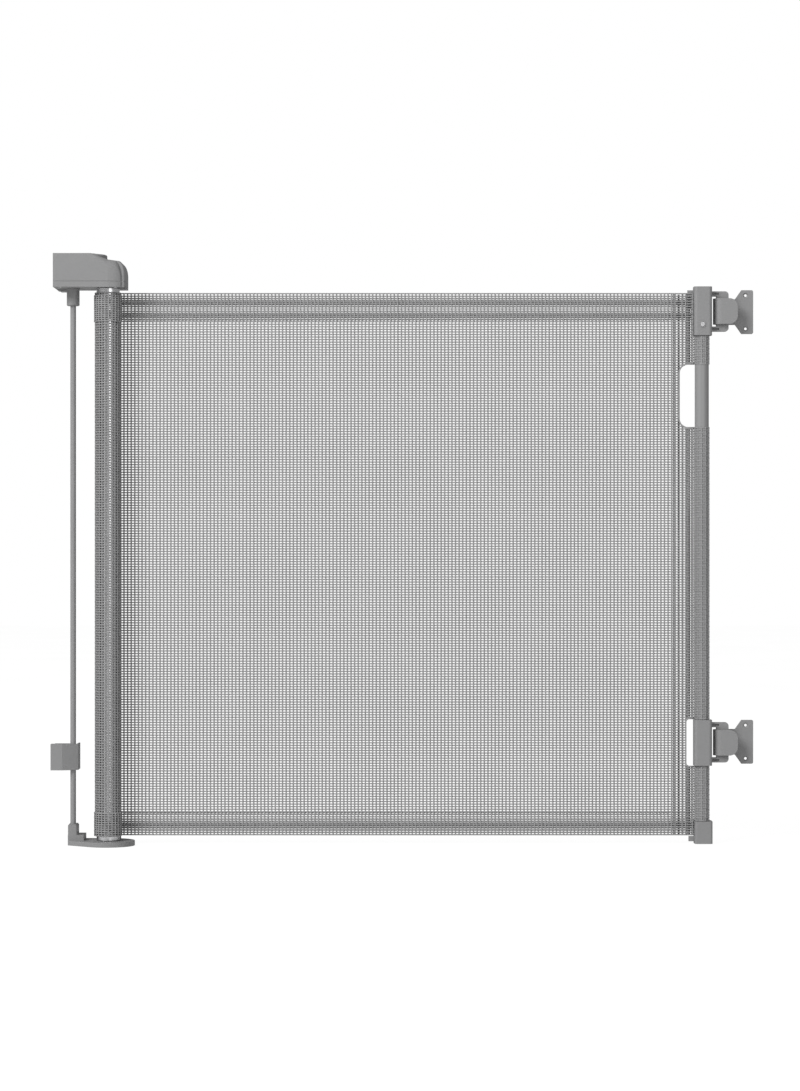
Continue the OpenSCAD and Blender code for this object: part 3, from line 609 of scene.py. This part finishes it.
class MESHGATE_OT_finishes(bpy.types.Operator):
    """Makes every finish and gives the plain parts theirs"""

    bl_idname = "mesh_gate.finishes"
    bl_label = "Finishes"

    def execute(self, context):
        tones = settings().finish
        build_groups()
        finish("Grey Plastic", "Moulded Grain", tones.plastic, 0.48, 0.00004, rub=0.5, dust=0.3, Mottle=0.05)
        finish("Button Plastic", "Moulded Grain", tones.button, 0.4, 0.00003, rub=0.6, dust=0.2, Mottle=0.05)
        finish("Dark Nylon", "Moulded Grain", tones.nylon, 0.55, 0.00004, rub=0.3, Mottle=0.08)
        finish("Plated Steel", "Drawn Lines", tones.steel, 0.34, 0.00001, rub=0.3, rounding=0.00015,
               rub_reach=0.0003, metal=1.0, Depth=0.12)
        finish("Satin Aluminium", "Drawn Lines", tones.aluminium, 0.3, 0.00001, metal=1.0, Depth=0.14)
        finish("Coated Rod", "Moulded Grain", tones.coated, 0.4, 0.00003, dust=0.1, Mottle=0.04, coat=0.15)
        finish("Coated Tube", "Moulded Grain", tones.coated, 0.38, 0.00003, dust=0.1, Mottle=0.04, coat=0.2)
        finish("Vinyl Yarn", "Yarn Coat", tones.yarn, 0.5, 0.00003, rounding=0, specular=0.4)
        finish("Sewing Thread", "Yarn Coat", tones.thread, 0.7, 0.00004, rounding=0, sheen=0.3)
        slots = {
            "grey_plastic": "Grey Plastic", "button_plastic": "Button Plastic", "nylon": "Dark Nylon",
            "steel": "Plated Steel", "aluminium_tube": "Satin Aluminium", "coated_rod": "Coated Rod",
            "coated_tube": "Coated Tube", "mesh": "Vinyl Yarn"}
        for part in frame["record"]["subparts"]:
            SHOWN[part["node"]].data.materials[0] = bpy.data.materials[slots[part["material_slot"]]]
        return {"FINISHED"}


# ---- the woven mesh ----


def hems(low, high):
    """Each hem's name, its lower and upper edge, and the places of its folded layer's level yarns."""
    size = settings().mesh
    for name, bottom, top, pitch in (
            ("top", high - size.top_hem, high - size.row_pitch, size.top_hem_pitch),
            ("bottom", low, low + size.bottom_hem, size.bottom_hem_pitch)):
        yield name, bottom, top, rows_between(bottom, top, pitch)


class MESHGATE_OT_panel(bpy.types.Operator):
    """Weaves the free panel from the roll to the seam, with its folded hems"""

    bl_idname = "mesh_gate.panel"
    bl_label = "Mesh Panel"

    def execute(self, context):
        size = settings().mesh
        low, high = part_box("mesh_panel")
        y = (low.y + high.y) / 2
        columns = spread(low.x + size.first_column, high.x, size.column_pitch)
        rows = rows_between(low.z, high.z, size.row_pitch)
        roll_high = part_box("mesh_roll")[1]
        step = columns[1] - columns[0]
        share = math.ceil(len(columns) / size.panel_pieces / 2) * 2
        made = []
        for number in range(size.panel_pieces):
            own = columns[number * share:(number + 1) * share]
            edges = (own[0] - step / 2 if number else low.x, own[-1] + step / 2)
            piece = weave(f"mesh_panel_{number + 1}", own, rows, edges, (low.z, high.z), flat_at(y))
            made.append((piece, edges))
        folds = []
        for place, bottom, top, levels in hems(low.z, high.z):
            folded = weave(f"panel_{place}_hem", columns, levels,
                           (low.x, high.x), (bottom, top), flat_at(y + size.layer_gap), phase=1)
            z = bottom + size.stitch_inset if place == "top" else top - size.stitch_inset
            between = y + size.layer_gap / 2
            dark_cord_columns = stitches(f"panel_{place}_stitching", [(roll_high.x, between, z), (high.x, between, z)],
                            size.stitch, size.stitch_gap, FRONT)
            folds += [dark_cord_columns, folded]
        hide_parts("mesh_panel")
        for piece in [m[0] for m in made] + folds:
            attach(piece, "wall_side")
            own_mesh(piece)
        return {"FINISHED"}


class MESHGATE_OT_strip(bpy.types.Operator):
    """Weaves the doubled strip beside the post, the post's pocket and the rims of both openings"""

    bl_idname = "mesh_gate.strip"
    bl_label = "Seam Strip And Pocket"

    def execute(self, context):
        size = settings().mesh
        low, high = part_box("mesh_strip")
        pocket_low, pocket_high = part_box("mesh_pocket")
        clip_low, clip_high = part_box("lower_clip")
        upper_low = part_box("upper_clip")[0]
        post_low, post_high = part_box("post_tube")
        y = (low.y + high.y) / 2
        room = {o["name"]: o["box_m"] for o in frame["record"]["physics"]["openings"]}
        hand, slot = room["hand_hole"], room["lower_slot"]
        openings = [
            Notch(hand[0][0] - size.hole_margin, hand[0][2] - size.hole_margin,
                  hand[1][2] + size.hole_margin, size.hole_corner),
            Notch(slot[0][0] - SLOT_LAP, clip_low.z - SLOT_MARGIN, clip_high.z + SLOT_MARGIN,
                  size.slot_corner)]
        top_room = Notch(upper_low.x - CLIP_GAP, upper_low.z - CLIP_GAP, high.z + BEYOND, SQUARE)
        cap_low, cap_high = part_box("post_cap")
        cap_room = Notch(cap_low.x + CAP_LAP, -BEYOND, cap_high.z + CLIP_GAP, SQUARE)
        cuts = [*openings, top_room, cap_room]
        rows = rows_between(low.z, high.z, size.row_pitch)
        columns = spread(low.x, high.x + SEAM_PAST, size.column_pitch)
        # Painted shade: these two columns get a near-black cord instead of an upright yarn, for the deep
        # shade down the seam's fold.
        dark_cord_columns = (columns[2], columns[5])
        open_columns = [x for x in columns if x not in dark_cord_columns]
        front_y = y - SEAM_FORWARD
        front = weave("seam_strip_front", open_columns, rows, (low.x, high.x), (low.z, high.z),
                      flat_at(front_y), cuts)
        behind = [x for x in spread(low.x + BACK_START, high.x, size.back_pitch)
                  if min(abs(x - cord) for cord in dark_cord_columns) > size.cord / 2]
        back = weave("seam_strip_back", behind, rows, (low.x + BACK_EDGE, high.x), (low.z, high.z),
                     flat_at(front_y + size.layer_gap), cuts, phase=1)
        extra = [back]
        for place, bottom, top, levels in hems(low.z, high.z):
            extra.append(weave(f"seam_{place}_hem", columns, levels, (low.x, high.x),
                               (bottom, top), flat_at(front_y + size.layer_gap * 2), cuts))
        between = y + size.layer_gap / 2
        for number, opening in enumerate(openings):
            lap = size.rim_width * 0.35
            inner = Notch(opening.left - lap, opening.bottom - lap, opening.top + lap, opening.corner + lap)
            name = ("hand_hole_rim", "lower_slot_rim")[number]
            extra.append(bound_rim(name, inner.outline(high.x), between, size.rim_width, size.rim_thickness))
        # Painted shade: a near-black cord of thread runs down each of those columns behind the level yarns,
        # standing in for the deep shade in the seam's fold as well as its stitching.
        for number, x in enumerate(dark_cord_columns):
            spans = stretches(x, (low.z + CORD_END, high.z - CORD_END), [c.span(x) for c in cuts])
            for part, (a, b) in enumerate(spans):
                name = f"seam_{number + 1}_stitching_{part + 1}"
                extra.append(stitches(name, [(x, between, a), (x, between, b)],
                                      size.stitch, size.cord_gap, FRONT, size.cord))
        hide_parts("mesh_strip")
        centre_x, centre_y = (post_low.x + post_high.x) / 2, (post_low.y + post_high.y) / 2
        radius = (pocket_high.x - pocket_low.x) / 2 - POCKET_INSET
        around = 2 * math.pi * radius
        pockets = []
        gaps = [(openings[1].bottom, openings[1].top), (openings[0].bottom, openings[0].top)]
        sleeves = stretches(0, (pocket_low.z, pocket_high.z), gaps)
        for number, (a, b) in enumerate(sleeves):
            pockets.append(weave(f"post_pocket_{number + 1}", spread(0, around, size.pocket_pitch, even=True),
                                 rows_between(a, b, size.row_pitch), (0, around), (a, b),
                                 round_axis(centre_x, centre_y, radius, POCKET_START)))
        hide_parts("mesh_pocket")
        for piece in (front, *extra, *pockets):
            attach(piece, "latch_bar")
        return {"FINISHED"}


class MESHGATE_OT_roll(bpy.types.Operator):
    """Weaves the turns of mesh that stay on the roller, with thicker bands where the hems lie"""

    bl_idname = "mesh_gate.roll"
    bl_label = "Mesh Roll"

    def execute(self, context):
        size = settings().mesh
        low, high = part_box("mesh_roll")
        x, y = (low.x + high.x) / 2, (low.y + high.y) / 2
        outer = (high.x - low.x) / 2 - size.roll_slack
        rows = rows_between(low.z, high.z, size.row_pitch)
        made = []
        turns = (("roll_outer_turn", outer, 0), ("roll_inner_turn", outer - size.roll_gap, 1))
        for name, radius, phase in turns:
            around = 2 * math.pi * radius
            pitch = size.column_pitch * radius / outer
            piece = weave(name, spread(0, around, pitch, even=True), rows, (0, around), (low.z, high.z),
                          round_axis(x, y, radius), phase=phase)
            made.append((piece, around))
        bands = []
        for place, bottom, top, levels in hems(low.z, high.z):
            radius = outer + size.roll_gap
            around = 2 * math.pi * radius
            bands.append(weave(f"roll_{place}_hem", spread(0, around, size.column_pitch, even=True),
                               levels, (0, around), (bottom, top),
                               round_axis(x, y, radius), phase=1))
        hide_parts("mesh_roll")
        for piece in [m[0] for m in made] + bands:
            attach(piece, "roller")
        return {"FINISHED"}


class MESHGATE_OT_coil(bpy.types.Operator):
    """Makes the button's spring"""

    bl_idname = "mesh_gate.coil"
    bl_label = "Button Coil"

    def execute(self, context):
        source = SHOWN["button_spring"]
        mesh = source.data.copy()
        mesh.transform(source.matrix_world)
        coil = bpy.data.objects.new("button_coil", mesh)
        context.scene.collection.objects.link(coil)
        bpy.ops.object.select_all(action="DESELECT")
        coil.select_set(True)
        context.view_layer.objects.active = coil
        bpy.ops.object.mode_set(mode="EDIT")
        bpy.ops.mesh.select_all(action="SELECT")
        bpy.ops.mesh.remove_doubles(threshold=0.000001)
        bpy.ops.object.mode_set(mode="OBJECT")
        bpy.ops.object.shade_smooth_by_angle(angle=math.radians(35))
        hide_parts("button_spring")
        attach(coil, "lock")
        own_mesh(coil)
        return {"FINISHED"}


# ---- the stage ----


class MESHGATE_OT_stage(bpy.types.Operator):
    """Sets up the pale floor, the soft lights and the camera"""

    bl_idname = "mesh_gate.stage"
    bl_label = "Stage"

    def execute(self, context):
        size = settings().stage
        scene = context.scene
        scene.view_settings.view_transform = "Standard"
        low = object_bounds()[0]
        bpy.ops.object.select_all(action="DESELECT")
        bpy.ops.mesh.primitive_plane_add(size=24, location=(size.eye_across, 0, low.z - 0.0005))
        floor = context.object
        floor.name = "floor"
        paint = bpy.data.materials.new("Studio Floor")
        paint.use_nodes = True
        tree = paint.node_tree
        shader = tree.nodes["Principled BSDF"]
        cloudy = scaled_noise(tree, node(tree, "TexCoord").outputs["Object"], 3, 4)
        seen = node(tree, "LightPath").outputs["Is Camera Ray"]
        darker = arithmetic(tree, "MULTIPLY", seen, 0.66)
        pale = arithmetic(tree, "SUBTRACT", remap(tree, cloudy, 0.76, 0.8), darker)
        tone = tree.nodes.new("ShaderNodeCombineColor")
        for channel in ("Red", "Green", "Blue"):
            tree.links.new(pale, tone.inputs[channel])
        tree.links.new(tone.outputs[0], shader.inputs["Base Color"])
        shader.inputs["Roughness"].default_value = 0.9
        shader.inputs["Specular IOR Level"].default_value = 0
        shader.inputs["Emission Color"].default_value = (1, 1, 1, 1)
        tree.links.new(arithmetic(tree, "MULTIPLY", seen, 0.95), shader.inputs["Emission Strength"])
        floor.data.materials.append(paint)
        floor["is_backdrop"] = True

        world = bpy.data.worlds.new("Studio")
        scene.world = world
        world.use_nodes = True
        tree = world.node_tree
        around = tree.nodes["Background"]
        around.inputs["Color"].default_value = (1, 1, 1, 1)
        around.inputs["Strength"].default_value = size.surround
        seen = node(tree, "Background", Strength=1.0)
        seen.inputs["Color"].default_value = (1, 1, 1, 1)
        which = node(tree, "LightPath")
        mix = node(tree, "MixShader")
        tree.links.new(which.outputs["Is Camera Ray"], mix.inputs["Fac"])
        tree.links.new(around.outputs[0], mix.inputs[1])
        tree.links.new(seen.outputs[0], mix.inputs[2])
        tree.links.new(mix.outputs[0], tree.nodes["World Output"].inputs["Surface"])

        for name, power, place, target, wide, tall in (
                ("Key", size.key_power, (-4.6, -5.4, 5.4), (0.5, 0, 0.35), 3.6, 3.6),
                ("Fill", size.fill_power, (2.4, -4.4, 1.4), (0.6, 0, 0.35), 2.0, 2.0)):
            lamp = bpy.data.lights.new(name, "AREA")
            lamp.shape = "RECTANGLE"
            lamp.size, lamp.size_y, lamp.energy = wide, tall, power
            light = bpy.data.objects.new(name, lamp)
            light.location = place
            light.rotation_euler = (Vector(target) - Vector(place)).to_track_quat("-Z", "Y").to_euler()
            scene.collection.objects.link(light)

        camera = bpy.data.cameras.new("Camera")
        camera.sensor_width = 36
        camera.lens = 18 / (size.field_height / 2 / size.distance)
        camera.clip_start, camera.clip_end = 0.1, 60
        view = bpy.data.objects.new("Camera", camera)
        mesh_low, mesh_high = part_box("mesh_panel")
        view.location = (size.eye_across, (mesh_low.y + mesh_high.y) / 2 - size.distance, size.eye_height)
        view.rotation_euler = (math.radians(90), 0, 0)
        scene.collection.objects.link(view)
        scene.camera = view
        return {"FINISHED"}


class MeshGateSettings(bpy.types.PropertyGroup):
    """All of the gate's settings"""

    mesh: PointerProperty(type=GateMeshSettings, name="Mesh", description="Sizes of the woven mesh")
    finish: PointerProperty(type=GateFinishSettings, name="Finish", description="Colours of the finishes")
    stage: PointerProperty(type=GateStageSettings, name="Stage", description="Camera and light")


OPERATORS = (MESHGATE_OT_finishes, MESHGATE_OT_panel, MESHGATE_OT_strip, MESHGATE_OT_roll,
             MESHGATE_OT_coil, MESHGATE_OT_stage)


class MESHGATE_PT_panel(bpy.types.Panel):
    """Lists the gate's pieces in the sidebar"""

    bl_label = "Mesh Gate"
    bl_idname = "MESHGATE_PT_panel"
    bl_space_type = "VIEW_3D"
    bl_region_type = "UI"
    bl_category = "Mesh Gate"

    def draw(self, context):
        for operator in OPERATORS:
            self.layout.operator(operator.bl_idname)


CLASSES = (
    GateMeshSettings, GateFinishSettings, GateStageSettings, MeshGateSettings, *OPERATORS, MESHGATE_PT_panel)


def register():
    for cls in CLASSES:
        bpy.utils.register_class(cls)
    bpy.types.Scene.mesh_gate = PointerProperty(type=MeshGateSettings)


def unregister():
    del bpy.types.Scene.mesh_gate
    for cls in reversed(CLASSES):
        bpy.utils.unregister_class(cls)


def main():
    register()
    bpy.ops.object.select_all(action="DESELECT")
    for operator in OPERATORS:
        family, name = operator.bl_idname.split(".")
        getattr(getattr(bpy.ops, family), name)()


if __name__ == "__main__":
    main()
